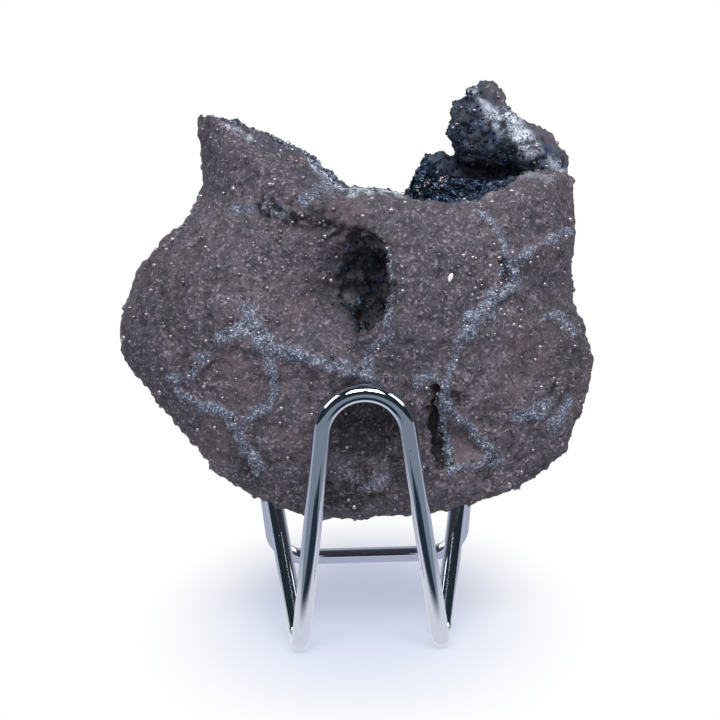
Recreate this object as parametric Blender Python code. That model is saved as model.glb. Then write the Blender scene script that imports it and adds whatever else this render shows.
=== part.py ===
"""A nodule of pyrolusite with seams of manganite, standing on an easel of bent wire.

Blender 4.5. Metres, +Z up, the front faces -Y, the floor is z = 0.
The tables below are in millimetres, in a frame whose x = 0 is the middle of the easel.
"""

import math

import bmesh
import bpy
import numpy as np
from mathutils import Matrix, Vector, noise

MM = 0.001

# Driving dimensions of the easel, in millimetres
WIRE_DIAMETER = 3.0
WIRE_SIDES = 12
# turns the twelve flats of the wire so that one of them lies on the floor under the cross bar
WIRE_TURN_DEGREES = -6.63
ARCH_HEIGHT = 43.5
ARCH_RADIUS = 6.7
ARCH_TOP_Y = -3.0
FOOT_HALF_SPACING = 11.45
FOOT_Y = 0.35
FOOT_LENGTH = 4.5
FOOT_SPREAD = 0.6
HAIRPIN_RADIUS = 2.3
ARM_TOP = (20.2, 27.0, 46.0)
ARM_BEND_RADIUS = 4.0
REAR_HALF_WIDTH = 17.8
REAR_Y = 46.0
REAR_CORNER_RADIUS = 6.5
ARC_STEP_DEGREES = 15.0

# Driving dimensions of the stone, in millimetres
WIRE_CLEARANCE = 0.55
CRUST_GAP = 0.65
CRUST_THICKNESS = 1.5
CRUST_BELOW_RIM = 1.2
CRUST_RAYS = 28
CRUST_RINGS = 13
CRYSTAL_HEIGHT = 1.3
CRYSTAL_SHIFT = 0.6
VOXEL = 0.9
STONE_TRIANGLES = 6200
SEED = 7

# Levels of the nodule: height, left x, right x, front y, back y, squareness of the outline
NODULE = (
    (19.6, -9.0, -3.5, 7.0, 9.0, 2.0),
    (20.8, -11.8, 5.0, 4.0, 9.8, 2.2),
    (22.4, -14.8, 15.0, 2.5, 10.6, 2.4),
    (24.5, -18.6, 24.0, 1.6, 12.0, 2.5),
    (28.0, -23.2, 30.6, 1.0, 14.2, 2.5),
    (32.0, -27.2, 33.9, 0.6, 16.6, 2.5),
    (36.5, -31.3, 35.9, 0.2, 19.4, 2.4),
    (41.0, -35.0, 37.0, -0.4, 22.0, 2.3),
    (45.5, -38.0, 37.7, -1.0, 25.0, 2.2),
    (49.5, -40.2, 37.8, -1.6, 30.0, 2.2),
    (53.5, -40.3, 36.3, -2.0, 36.0, 2.2),
    (58.0, -38.7, 35.2, -2.0, 41.5, 2.2),
    (63.0, -36.2, 35.8, -1.5, 45.0, 2.3),
    (67.0, -33.2, 35.7, -0.5, 46.8, 2.3),
    (70.0, -30.2, 35.6, 0.6, 47.2, 2.4),
    (73.0, -27.2, 35.9, 2.0, 47.3, 2.5),
    (77.0, -26.8, 37.2, 3.6, 46.9, 2.6),
    (82.0, -27.0, 36.6, 5.4, 46.0, 2.5),
    (86.0, -26.9, 33.0, 7.2, 45.4, 2.4),
    (90.0, -26.4, 29.3, 9.0, 44.0, 2.3),
    (96.0, -23.5, 25.0, 12.0, 42.0, 2.2),
)

# Levels of the open hollow between the horns, in the same form
HOLLOW = (
    (60.0, 4.0, 8.0, 25.0, 28.0, 2.0),
    (60.8, -1.5, 14.0, 20.5, 33.0, 2.0),
    (63.0, -7.0, 21.5, 15.5, 37.0, 2.1),
    (66.5, -11.0, 27.0, 12.0, 39.4, 2.2),
    (70.0, -13.5, 30.2, 9.8, 41.0, 2.3),
    (75.0, -15.5, 31.6, 9.2, 41.8, 2.3),
    (80.0, -18.0, 30.4, 10.2, 41.4, 2.2),
    (86.0, -20.4, 27.0, 12.6, 40.4, 2.2),
    (92.0, -21.4, 23.5, 15.0, 39.0, 2.2),
    (99.0, -22.0, 19.0, 18.0, 37.0, 2.2),
)

# Broken rim of the hollow, once round: direction in degrees from the rim's centre, 270 being the
# front, then the height of the break on the hollow's side of the wall and on its outer side
RIM = (
    (0.0, 74.5, 76.0),
    (8.0, 76.0, 81.2),
    (16.0, 78.6, 83.2),
    (20.0, 81.0, 85.0),
    (24.0, 83.0, 86.0),
    (28.0, 84.6, 87.4),
    (33.0, 85.6, 88.4),
    (38.0, 85.2, 88.2),
    (42.0, 83.6, 86.6),
    (45.5, 80.0, 83.0),
    (49.0, 79.1, 79.5),
    (62.0, 78.7, 79.0),
    (68.0, 77.4, 77.4),
    (74.0, 73.2, 73.6),
    (80.0, 70.4, 70.4),
    (90.0, 68.8, 68.4),
    (115.0, 68.4, 67.0),
    (145.0, 74.6, 73.4),
    (160.0, 80.6, 81.0),
    (170.0, 84.2, 86.6),
    (186.0, 85.4, 87.4),
    (194.0, 85.0, 87.8),
    (202.0, 84.2, 86.9),
    (212.0, 82.8, 82.4),
    (226.0, 80.5, 77.8),
    (234.0, 78.2, 75.4),
    (242.0, 75.8, 73.2),
    (250.0, 75.0, 72.8),
    (268.0, 74.7, 73.4),
    (275.0, 74.2, 73.2),
    (283.0, 73.1, 72.2),
    (312.0, 72.5, 71.4),
    (320.0, 74.3, 72.8),
    (330.0, 76.4, 74.8),
    (338.0, 76.8, 75.6),
    (348.0, 76.0, 75.6),
)
RIM_CENTRE = (5.0, 26.0)
RIM_REACH = 70.0
RIM_RAYS = 144
RIM_TOP = 112.0
RIM_GRAIN = 3.5
RIM_ROUGHNESS = 0.6

# Solid lumps of the tall horn: centre, half sizes, tilt about Y and turn about Z
HORN_LUMPS = {
    "horn_tip": ((22.7, 38.6, 86.8), (4.5, 4.4, 5.9), 8.0, -30.0),
    "horn_left_side": ((20.6, 38.2, 82.6), (3.9, 4.8, 6.6), -6.0, -35.0),
    "horn_face": ((25.0, 37.2, 81.8), (5.6, 4.8, 5.8), 25.0, -25.0),
    "horn_shoulder": ((30.6, 33.6, 79.4), (5.0, 5.6, 4.6), 30.0, -20.0),
    "horn_foot": ((25.2, 37.4, 79.6), (7.6, 4.6, 3.8), 5.0, -25.0),
}

# Highest level of the crust of crystals in each direction: it ends below the lumps of the horn
CRUST_TOP = ((0.0, 73.6), (12.0, 73.6), (50.0, 74.2), (60.0, 77.0), (75.0, 90.0), (345.0, 90.0))

# What is missing from the nodule, in the same form
SCOOPS = {
    "pit_deep_end": ((-0.9, 1.6, 59.8), (9.2, 5.4, 7.1), 8.0, 42.0),
    "pit_slope": ((-9.9, -3.7, 60.2), (10.4, 6.1, 8.2), 10.0, 30.0),
    "notch_under_left_foot": ((-23.5, 8.0, 14.2), (11.0, 22.0, 10.2), 0.0, 0.0),
}

# Lobes on the front face: x, z, radius and height
FRONT_LOBES = (
    (-30.8, 53.5, 12.0, 2.2),
    (-20.0, 45.8, 7.5, 2.2),
    (-27.5, 41.0, 7.5, 1.6),
    (-12.5, 36.5, 10.0, 1.6),
    (13.0, 58.5, 12.0, 2.6),
    (25.6, 45.0, 13.5, 3.4),
    (29.5, 67.5, 9.5, 2.0),
    (22.0, 28.0, 8.0, 1.6),
    (-15.5, 79.0, 9.5, 1.2),
    (3.0, 71.0, 9.0, 1.4),
    (-6.0, 44.5, 7.0, 1.2),
)
BACK_LOBE_COUNT = 26
BACK_LOBE_RADIUS = (7.0, 13.0)
BACK_LOBE_HEIGHT = (1.2, 2.6)
BACK_LOBE_MEAN = 2.0

# Raised seams of manganite on the front face, as x, z points, with half width and height
SEAMS = (
    (((35.8, 65.5), (30.0, 64.9), (24.5, 63.1), (23.1, 58.9), (18.5, 55.2), (14.4, 49.4),
      (13.1, 44.7), (11.9, 38.3)), 1.1, 1.0),
    (((22.6, 72.6), (23.0, 66.0), (23.1, 62.1)), 0.9, 0.8),
    (((-23.3, 51.0), (-20.5, 53.0), (-17.7, 51.3), (-14.8, 51.1), (-11.4, 49.4), (-5.2, 46.5),
      (-2.1, 45.9)), 1.2, 0.9),
    (((-15.3, 50.1), (-13.9, 46.9), (-14.0, 42.9), (-16.2, 40.5), (-19.7, 39.0)), 0.8, 0.8),
    (((-31.2, 44.4), (-27.2, 41.6), (-22.3, 39.4), (-20.7, 37.1), (-17.0, 30.5)), 0.8, 0.8),
    (((-2.1, 46.9), (1.2, 50.8), (3.5, 52.3)), 0.8, 0.7),
    (((5.7, 44.3), (9.6, 45.0), (11.9, 44.1)), 0.8, 0.7),
)

# Cracks and grooves on the front face, in the same form, with a depth
CRACKS = (
    (((-17.0, 72.0), (-11.6, 69.9), (-6.2, 67.7), (-2.0, 66.6)), 1.0, 2.0),
    (((11.0, 39.5), (11.6, 34.0), (12.4, 30.0)), 0.9, 2.4),
    (((21.0, 31.4), (18.9, 28.3)), 0.8, 1.4),
    (((23.0, 62.6), (22.4, 59.1)), 0.7, 1.4),
    (((31.6, 40.1), (30.9, 38.5)), 0.7, 0.9),
)

# Chip broken from the front face: its three corners and the depth of its flat floor
CHIP_CORNERS = ((13.0, 40.2), (20.6, 31.3), (13.4, 30.6))
CHIP_DEPTH = 1.2

BROAD_NOISE = (14.0, 0.9)
FINE_NOISE = (4.5, 0.5)


def clear_scene():
    for thing in list(bpy.data.objects):
        bpy.data.objects.remove(thing, do_unlink=True)


def make_material(name, colour, roughness, metallic=0.0):
    material = bpy.data.materials.new(name)
    material.use_nodes = True
    shader = material.node_tree.nodes["Principled BSDF"]
    shader.inputs["Base Color"].default_value = (*colour, 1.0)
    shader.inputs["Roughness"].default_value = roughness
    shader.inputs["Metallic"].default_value = metallic
    material.diffuse_color = (*colour, 1.0)
    return material


def add_object(name, mesh, helper=False):
    thing = bpy.data.objects.new(name, mesh)
    bpy.context.scene.collection.objects.link(thing)
    if helper:
        thing.hide_render = True
        thing.display_type = "WIRE"
    return thing


def mesh_from(name, points, faces):
    """A mesh from points in millimetres, with its faces turned outwards."""
    mesh = bpy.data.meshes.new(name)
    mesh.from_pydata([tuple(Vector(p) * MM) for p in points], [], faces)
    shape = bmesh.new()
    shape.from_mesh(mesh)
    bmesh.ops.recalc_face_normals(shape, faces=shape.faces)
    shape.to_mesh(mesh)
    shape.free()
    return mesh


def evaluated_mesh(thing):
    bpy.context.view_layer.update()
    graph = bpy.context.evaluated_depsgraph_get()
    return bpy.data.meshes.new_from_object(thing.evaluated_get(graph))


def mesh_points(mesh):
    points = np.empty(len(mesh.vertices) * 3)
    mesh.vertices.foreach_get("co", points)
    return points.reshape(-1, 3) / MM


def mesh_normals(mesh):
    normals = np.empty(len(mesh.vertices) * 3)
    mesh.vertex_normals.foreach_get("vector", normals)
    return normals.reshape(-1, 3)


def set_mesh_points(mesh, points):
    mesh.vertices.foreach_set("co", (points * MM).ravel())
    mesh.update()


def level_at(levels, height):
    """The row of a table of levels at any height, on a smooth curve through its rows."""
    rows = np.array(levels)
    heights = rows[:, 0]
    height = min(max(height, heights[0]), heights[-1])
    low = min(int(np.searchsorted(heights, height, side="right")) - 1, len(rows) - 2)
    slopes = np.gradient(rows, heights, axis=0)
    span = heights[low + 1] - heights[low]
    t = (height - heights[low]) / span
    start = (2 * t**3 - 3 * t**2 + 1) * rows[low] + (t**3 - 2 * t**2 + t) * span * slopes[low]
    end = (3 * t**2 - 2 * t**3) * rows[low + 1] + (t**3 - t**2) * span * slopes[low + 1]
    return start + end


def level_outline(row, count):
    """Points of one level: a superellipse with its sides at left, right, front and back."""
    height, left, right, front, back, power = row
    half_x = (right - left) / 2
    half_y = (back - front) / 2
    points = []
    for step in range(count):
        angle = 2 * math.pi * step / count
        cos, sin = math.cos(angle), math.sin(angle)
        x = (left + right) / 2 + half_x * math.copysign(abs(cos) ** (2 / power), cos)
        y = (front + back) / 2 + half_y * math.copysign(abs(sin) ** (2 / power), sin)
        points.append((x, y, height))
    return points


def loft(levels, level_count, around):
    """Points and faces of a closed body lofted through a table of levels."""
    bottom, top = levels[0][0], levels[-1][0]
    rings = []
    for step in range(level_count):
        # levels lie closer together near the two ends
        t = (1 - math.cos(math.pi * step / (level_count - 1))) / 2
        rings.append(level_outline(level_at(levels, bottom + t * (top - bottom)), around))
    points = [point for ring in rings for point in ring]
    faces = [tuple(range(around))[::-1]]
    for ring in range(level_count - 1):
        for side in range(around):
            after = (side + 1) % around
            low, high = ring * around, (ring + 1) * around
            faces.append((low + side, low + after, high + after, high + side))
    faces.append(tuple((level_count - 1) * around + side for side in range(around)))
    return points, faces


def edge_distance(row, centre, way):
    """How far a ray runs from a centre in one direction before it leaves the outline of a level."""
    _, left, right, front, back, power = row
    near, far = 0.0, right - left
    for _ in range(30):
        reach = (near + far) / 2
        place = centre + way * reach
        across = abs(2 * place.x - left - right) / (right - left)
        deep = abs(2 * place.y - front - back) / (back - front)
        if across**power + deep**power < 1.0:
            near = reach
        else:
            far = reach
    return near


def rim_heights(degrees):
    """Height of the break on the hollow's side and on the outer side, in one direction."""
    table = np.array(RIM)
    return [np.interp(degrees, table[:, 0], table[:, side], period=360.0) for side in (1, 2)]


def rim_cutter(name):
    """The space above the broken rim: its underside runs along the break, all round the hollow."""
    centre = Vector(RIM_CENTRE)
    points = []
    for step in range(RIM_RAYS):
        degrees = 360.0 * step / RIM_RAYS
        inner, outer = rim_heights(degrees)
        way = Vector((math.cos(math.radians(degrees)), math.sin(math.radians(degrees))))
        wall_start = edge_distance(level_at(HOLLOW, inner), centre, way)
        wall_end = edge_distance(level_at(NODULE, outer), centre, way)
        wall_end = max(wall_end, wall_start + 2.0)
        middle = (wall_start + wall_end) / 2
        heights = (inner, inner, (inner + outer) / 2, outer, outer)
        for reach, height in zip((3.0, wall_start, middle, wall_end, RIM_REACH), heights):
            place = centre + way * reach
            rough = noise.noise(Vector((*place, height)) / RIM_GRAIN) * RIM_ROUGHNESS
            points.append((*place, height + rough))
    for step in range(RIM_RAYS):
        angle = 2 * math.pi * step / RIM_RAYS
        across, deep = RIM_REACH * math.cos(angle), RIM_REACH * math.sin(angle)
        points.append((centre.x + across, centre.y + deep, RIM_TOP))
    points.append((*RIM_CENTRE, np.array(RIM)[:, 1].mean()))
    points.append((*RIM_CENTRE, RIM_TOP))
    under, over = len(points) - 2, len(points) - 1
    top_start = RIM_RAYS * 5
    faces = []
    for step in range(RIM_RAYS):
        after = (step + 1) % RIM_RAYS
        faces.append((under, after * 5, step * 5))
        for ring in range(4):
            low, high = step * 5 + ring, after * 5 + ring
            faces.append((low, high, high + 1, low + 1))
        faces.append((step * 5 + 4, after * 5 + 4, top_start + after, top_start + step))
        faces.append((over, top_start + step, top_start + after))
    return add_object(name, mesh_from(name, points, faces), helper=True)


def ellipsoid(name, centre, half_sizes, tilt_degrees, turn_degrees):
    place = Matrix.Translation(Vector(centre) * MM)
    place @= Matrix.Rotation(math.radians(turn_degrees), 4, "Z")
    place @= Matrix.Rotation(math.radians(tilt_degrees), 4, "Y")
    place @= Matrix.Diagonal((*half_sizes, 1.0))
    shape = bmesh.new()
    bmesh.ops.create_icosphere(shape, subdivisions=4, radius=MM, matrix=place)
    mesh = bpy.data.meshes.new(name)
    shape.to_mesh(mesh)
    shape.free()
    return add_object(name, mesh, helper=True)


def add_boolean(thing, cutter):
    cut = thing.modifiers.new(cutter.name, "BOOLEAN")
    cut.operation = "DIFFERENCE"
    cut.solver = "EXACT"
    cut.object = cutter


def fillet_path(corners, radii):
    """A closed path through corners, each rounded to its own radius."""
    path = []
    count = len(corners)
    for index in range(count):
        corner = Vector(corners[index])
        before = (Vector(corners[index - 1]) - corner).normalized()
        after = (Vector(corners[(index + 1) % count]) - corner).normalized()
        half = before.angle(after) / 2
        if radii[index] <= 0 or half > math.radians(89):
            path.append(corner)
            continue
        middle = (before + after).normalized()
        centre = corner + middle * (radii[index] / math.sin(half))
        start = corner + before * (radii[index] / math.tan(half))
        arm = start - centre
        across = (corner - centre).normalized()
        turn = math.pi - 2 * half
        steps = max(2, math.ceil(turn / math.radians(ARC_STEP_DEGREES)))
        side = (across - arm.normalized() * across.dot(arm.normalized())).normalized()
        for step in range(steps + 1):
            angle = turn * step / steps
            path.append(
                centre + arm * math.cos(angle) + side * radii[index] * math.sin(angle)
            )
    return path


def easel_path():
    """Centre line of the wire, in millimetres: half of it by hand, the other half mirrored."""
    wire_radius = WIRE_DIAMETER / 2
    lean = ARCH_TOP_Y - FOOT_Y
    arch_centre_z = ARCH_HEIGHT - ARCH_RADIUS
    # the legs leave the arch at a tangent and spread to the feet
    spread = (FOOT_HALF_SPACING - ARCH_RADIUS) / arch_centre_z
    arch_top = []
    steps = math.ceil(90 / ARC_STEP_DEGREES)
    for step in range(steps + 1):
        angle = math.radians(90) - (math.radians(90) - math.atan(spread)) * step / steps
        z = arch_centre_z + ARCH_RADIUS * math.sin(angle)
        arch_top.append((ARCH_RADIUS * math.cos(angle), FOOT_Y + lean * z / ARCH_HEIGHT, z))
    half = [(p, 0.0) for p in arch_top]
    half.append(((FOOT_HALF_SPACING, FOOT_Y, wire_radius), HAIRPIN_RADIUS))
    foot_back = (FOOT_HALF_SPACING + FOOT_SPREAD, FOOT_Y + FOOT_LENGTH, wire_radius)
    half.append((foot_back, HAIRPIN_RADIUS))
    half.append((ARM_TOP, ARM_BEND_RADIUS))
    half.append(((REAR_HALF_WIDTH, REAR_Y, wire_radius), REAR_CORNER_RADIUS))
    other = [((-p[0], p[1], p[2]), radius) for p, radius in half[1:]]
    corners = half + [((0.0, REAR_Y, wire_radius), 0.0)] + other[::-1]
    return fillet_path([p for p, _ in corners], [radius for _, radius in corners])


def make_easel(path):
    curve = bpy.data.curves.new("wire_easel", "CURVE")
    curve.dimensions = "3D"
    curve.bevel_depth = WIRE_DIAMETER / 2 * MM
    curve.bevel_resolution = WIRE_SIDES // 2 - 2
    spline = curve.splines.new("POLY")
    spline.points.add(len(path) - 1)
    for point, place in zip(spline.points, path):
        point.co = (*(place * MM), 1.0)
        point.tilt = math.radians(WIRE_TURN_DEGREES)
    spline.use_cyclic_u = True
    spline.use_smooth = True
    guide = add_object("wire_guide", curve, helper=True)
    return evaluated_mesh(guide)


def distance_to_line(points, line):
    """Distance of each 2-D or 3-D point from a line of points."""
    nearest = np.full(len(points), np.inf)
    line = np.array(line, float)
    for start, end in zip(line[:-1], line[1:]):
        along = end - start
        t = np.clip((points - start) @ along / (along @ along), 0.0, 1.0)
        nearest = np.minimum(nearest, np.linalg.norm(points - start - t[:, None] * along, axis=1))
    return nearest


def noise_at(points, size, shift):
    return np.array([noise.noise(Vector(p) / size + Vector((shift, 0, 0))) for p in points])


def lobes_height(places, lobes):
    """The highest of several round domes at each place."""
    height = np.zeros(len(places))
    for *centre, radius, rise in lobes:
        away = np.linalg.norm(places - np.array(centre), axis=1) / radius
        height = np.maximum(height, rise * np.sqrt(np.clip(1 - away**2, 0, 1)))
    return height


def back_lobes(points):
    """Domes scattered on the back and the flanks, as x, y, z, radius and height."""
    random = np.random.default_rng(SEED)
    behind = points[points[:, 1] > 18.0]
    lobes = []
    for _ in range(BACK_LOBE_COUNT):
        centre = behind[random.integers(len(behind))]
        lobes.append(
            (*centre, random.uniform(*BACK_LOBE_RADIUS), random.uniform(*BACK_LOBE_HEIGHT))
        )
    return lobes


def chip_depth(places):
    """Depth of the chip's floor at each x, z place, with steep sides."""
    corners = np.array(CHIP_CORNERS)
    inside = np.full(len(places), np.inf)
    middle = corners.mean(axis=0)
    for start, end in zip(corners, np.roll(corners, -1, axis=0)):
        side = np.array((start[1] - end[1], end[0] - start[0]))
        side /= np.linalg.norm(side)
        side *= np.sign((middle - start) @ side)
        inside = np.minimum(inside, (places - start) @ side)
    return CHIP_DEPTH * np.clip(inside / 0.7, 0.0, 1.0)


def hollow_share(points):
    """1 on the wall of the hollow, less inside it, more outside it."""
    share = np.full(len(points), 9.0)
    for index, (x, y, z) in enumerate(points):
        if z < HOLLOW[0][0]:
            continue
        _, left, right, front, back, power = level_at(HOLLOW, z)
        across = abs(2 * x - left - right) / (right - left)
        deep = abs(2 * y - front - back) / (back - front)
        share[index] = (across**power + deep**power) ** (1 / power)
    return share


def carve_surface(mesh):
    """Lobes, seams, cracks, the chip and roughness, as moves of the points along their normals."""
    points, normals = mesh_points(mesh), mesh_normals(mesh)
    outside = np.clip((hollow_share(points) - 1.04) / 0.08, 0.0, 1.0)
    facing = np.clip(-normals[:, 1] * 1.6, 0.0, 1.0)
    places = points[:, [0, 2]]
    move = (0.55 * lobes_height(places, FRONT_LOBES) - 0.8) * facing
    behind = 1.0 - np.clip(-normals[:, 1] * 3.0 + 0.3, 0.0, 1.0)
    move += (lobes_height(points, back_lobes(points)) - BACK_LOBE_MEAN) * behind
    size, height = BROAD_NOISE
    move += noise_at(points, size, 3.0) * height
    size, height = FINE_NOISE
    move += noise_at(points, size, 11.0) * height
    uneven = 0.75 + 0.5 * noise_at(points, 2.5, 21.0)
    for line, half_width, height in SEAMS:
        near = np.exp(-((distance_to_line(places, line) / half_width) ** 2))
        move += facing * height * near * uneven
    for line, half_width, depth in CRACKS:
        move -= facing * depth * np.exp(-((distance_to_line(places, line) / half_width) ** 2))
    move -= facing * chip_depth(places)
    set_mesh_points(mesh, points + normals * (move * outside)[:, None])


def stand_clear(mesh, path):
    """Moves the points that lie too near the wire straight away from it."""
    points = mesh_points(mesh)
    line = np.array([tuple(p) for p in path + path[:1]])
    wanted = WIRE_DIAMETER / 2 + WIRE_CLEARANCE
    for _ in range(2):
        for start, end in zip(line[:-1], line[1:]):
            along = end - start
            t = np.clip((points - start) @ along / (along @ along), 0.0, 1.0)
            away = points - start - t[:, None] * along
            distance = np.maximum(np.linalg.norm(away, axis=1), 1e-6)
            push = np.clip(wanted - distance, 0.0, None)
            points += away / distance[:, None] * push[:, None]
    set_mesh_points(mesh, points)


def make_stone(path):
    points, faces = loft(NODULE, 44, 84)
    body = add_object("nodule_body", mesh_from("nodule_body", points, faces), helper=True)
    points, faces = loft(HOLLOW, 24, 56)
    hollow = add_object("hollow_cutter", mesh_from("hollow_cutter", points, faces), helper=True)
    add_boolean(body, hollow)
    add_boolean(body, rim_cutter("rim_cutter"))
    for name, scoop in SCOOPS.items():
        add_boolean(body, ellipsoid(name, *scoop))
    # the remesh fuses the lumps of the horn with the wall that they overlap
    shape = bmesh.new()
    shape.from_mesh(evaluated_mesh(body))
    for name, lump in HORN_LUMPS.items():
        shape.from_mesh(ellipsoid(name, *lump).data)
    overlapping = bpy.data.meshes.new("overlapping_lumps")
    shape.to_mesh(overlapping)
    shape.free()
    fused = add_object("fused_lumps", overlapping, helper=True)
    remesh = fused.modifiers.new("even_skin", "REMESH")
    remesh.mode = "VOXEL"
    remesh.voxel_size = VOXEL * MM
    skin = evaluated_mesh(fused)
    carve_surface(skin)
    stand_clear(skin, path)
    dense = add_object("dense_skin", skin, helper=True)
    fewer = dense.modifiers.new("fewer_faces", "DECIMATE")
    fewer.ratio = STONE_TRIANGLES / (2 * len(skin.polygons))
    fewer.use_collapse_triangulate = True
    return evaluated_mesh(dense)


def crust_rings(ring_count, inset):
    """Rings of points on the hollow's wall, moved in by an inset, from its floor to the rim."""
    centre = Vector(RIM_CENTRE)
    rings = []
    for ring in range(1, ring_count + 1):
        points = []
        for step in range(CRUST_RAYS):
            degrees = 360.0 * step / CRUST_RAYS
            way = Vector((math.cos(math.radians(degrees)), math.sin(math.radians(degrees))))
            low = HOLLOW[0][0] + inset
            top = rim_heights(degrees)[0] - CRUST_BELOW_RIM
            top = min(top, np.interp(degrees, *zip(*CRUST_TOP), period=360.0))
            # rings lie closer together in height on the flat floor of the hollow
            height = low + (top - low) * (ring / ring_count) ** 2
            reach = edge_distance(level_at(HOLLOW, height - inset), centre, way) - inset
            points.append(Vector((*(centre + way * max(reach, 0.8)), height)))
        rings.append(points)
    return rings


def make_crust():
    """A shell on the hollow's wall whose inner side is a druse of flat-faced pyramids."""
    random = np.random.default_rng(SEED)
    outer = crust_rings(CRUST_RINGS // 2, CRUST_GAP)
    inner = crust_rings(CRUST_RINGS, CRUST_GAP + CRUST_THICKNESS)
    shape = bmesh.new()
    for ring in inner[1:-1]:
        for point in ring:
            point += Vector(random.uniform(-CRYSTAL_SHIFT, CRYSTAL_SHIFT, 3))
    # one run of rings: up the inner side to the rim, then down the outer side from it
    rings = [[shape.verts.new(point * MM) for point in ring] for ring in inner + outer[::-1]]
    faceted = []
    for below, above in zip(rings, rings[1:]):
        for step in range(CRUST_RAYS):
            after = (step + 1) % CRUST_RAYS
            face = shape.faces.new((below[step], above[step], above[after], below[after]))
            if above is not rings[len(inner)] and len(faceted) < CRUST_RAYS * (len(inner) - 1):
                faceted.append(face)
    floors = ((rings[0], CRUST_GAP + CRUST_THICKNESS, False), (rings[-1], CRUST_GAP, True))
    for ring, inset, turned in floors:
        middle = shape.verts.new(Vector((*RIM_CENTRE, HOLLOW[0][0] + inset)) * MM)
        for step in range(CRUST_RAYS):
            corners = (middle, ring[step], ring[(step + 1) % CRUST_RAYS])
            shape.faces.new(corners[::-1] if turned else corners)
    for face in faceted:
        height = random.uniform(0.4, 1.0) * CRYSTAL_HEIGHT * MM
        bmesh.ops.poke(shape, faces=[face], offset=height, center_mode="MEAN")
    mesh = bpy.data.meshes.new("cavity_crystal_crust")
    shape.to_mesh(mesh)
    shape.free()
    return mesh


def finish_mesh(mesh, name):
    """Merges doubled points, removes faces with no area and leaves only triangles."""
    shape = bmesh.new()
    shape.from_mesh(mesh)
    bmesh.ops.remove_doubles(shape, verts=shape.verts, dist=0.02 * MM)
    bmesh.ops.dissolve_degenerate(shape, edges=shape.edges, dist=0.01 * MM)
    bmesh.ops.triangulate(shape, faces=shape.faces)
    shape.to_mesh(mesh)
    shape.free()
    mesh.name = name
    return mesh


def stand_on_origin(meshes):
    """Shifts all the meshes so that the middle of the floor under their box is the origin."""
    points = np.concatenate([mesh_points(mesh) for mesh in meshes])
    low, high = points.min(axis=0), points.max(axis=0)
    shift = np.array(((low[0] + high[0]) / 2, (low[1] + high[1]) / 2, low[2]))
    for mesh in meshes:
        set_mesh_points(mesh, mesh_points(mesh) - shift)
    print("object size in mm", np.round(high - low, 2), "shift", np.round(shift, 3))


def main():
    clear_scene()
    path = easel_path()
    pieces = {
        "wire_easel": make_easel(path),
        "pyrolusite_mass": make_stone(path),
        "cavity_crystal_crust": make_crust(),
    }
    materials = {
        "wire_easel": make_material("chromed_wire", (0.72, 0.74, 0.78), 0.08, 1.0),
        "pyrolusite_mass": make_material("pyrolusite_skin", (0.105, 0.08, 0.085), 0.62),
        "cavity_crystal_crust": make_material("dark_druse", (0.02, 0.022, 0.026), 0.25, 0.3),
    }
    for name, mesh in pieces.items():
        finish_mesh(mesh, name)
    stand_on_origin(list(pieces.values()))
    for name, mesh in pieces.items():
        mesh.materials.clear()
        mesh.materials.append(materials[name])
        add_object(name, mesh)
        print(name, len(mesh.polygons), "triangles")
    pieces["wire_easel"].shade_smooth()


main()
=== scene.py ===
# %% [markdown]
# # A pyrolusite nodule with manganite seams, on a wire easel
# This lesson dresses a measured solid model of a mineral specimen. The solid model gives every
# size and place. Here each part gets the fine shape and the finish that the eye expects: the
# granular brown-black skin of pyrolusite, the blue-grey seams of manganite, the black druse in the
# open hollow and the chromed wire of the stand. Lengths are in metres unless a note says
# millimetres, +Z is up and the front of the stone faces -Y.

# %% Load the solid model
import math

import bmesh
import bpy
import numpy as np
from mathutils import Matrix, Vector, noise


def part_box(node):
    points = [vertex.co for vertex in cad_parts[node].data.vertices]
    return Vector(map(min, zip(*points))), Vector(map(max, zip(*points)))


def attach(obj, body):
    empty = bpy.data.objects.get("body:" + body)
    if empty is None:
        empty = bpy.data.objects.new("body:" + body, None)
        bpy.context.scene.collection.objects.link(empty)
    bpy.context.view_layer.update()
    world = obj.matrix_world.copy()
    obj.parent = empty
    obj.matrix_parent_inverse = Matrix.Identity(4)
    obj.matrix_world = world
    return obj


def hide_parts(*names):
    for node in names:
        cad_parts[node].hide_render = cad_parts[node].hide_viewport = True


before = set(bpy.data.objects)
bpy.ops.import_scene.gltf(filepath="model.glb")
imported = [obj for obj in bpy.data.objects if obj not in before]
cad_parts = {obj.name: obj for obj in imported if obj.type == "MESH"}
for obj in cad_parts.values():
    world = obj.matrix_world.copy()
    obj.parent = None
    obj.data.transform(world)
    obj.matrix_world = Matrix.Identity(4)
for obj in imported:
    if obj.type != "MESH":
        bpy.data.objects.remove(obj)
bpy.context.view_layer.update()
MM = 0.001

# %% [markdown]
# ## The easel's own frame
# The wire was laid out in a frame whose x = 0 is the middle of the easel and whose y = 0 is near
# its front feet. Places given in that frame are in millimetres, because such numbers are easy to
# picture. One offset, read from the wire's solid, turns them into the model's frame.

# %% Find the offset of the easel's frame
WIRE_RADIUS = 1.5
REAR_BAR_Y = 46.0
FLAT_RADIUS = WIRE_RADIUS * math.cos(math.radians(15))  # the solid wire has twelve flats

wire_low, wire_high = (np.array(corner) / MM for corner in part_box("wire_easel"))
EASEL_OFFSET = np.array((
    (wire_low[0] + wire_high[0]) / 2,
    wire_high[1] - REAR_BAR_Y - FLAT_RADIUS,
    wire_low[2],
))
print("easel frame sits at", EASEL_OFFSET.round(2), "mm")


def to_model(places_mm):
    """Places in the easel's frame, in millimetres, as places in the model, in metres."""
    return (np.asarray(places_mm, float) + EASEL_OFFSET) * MM


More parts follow.
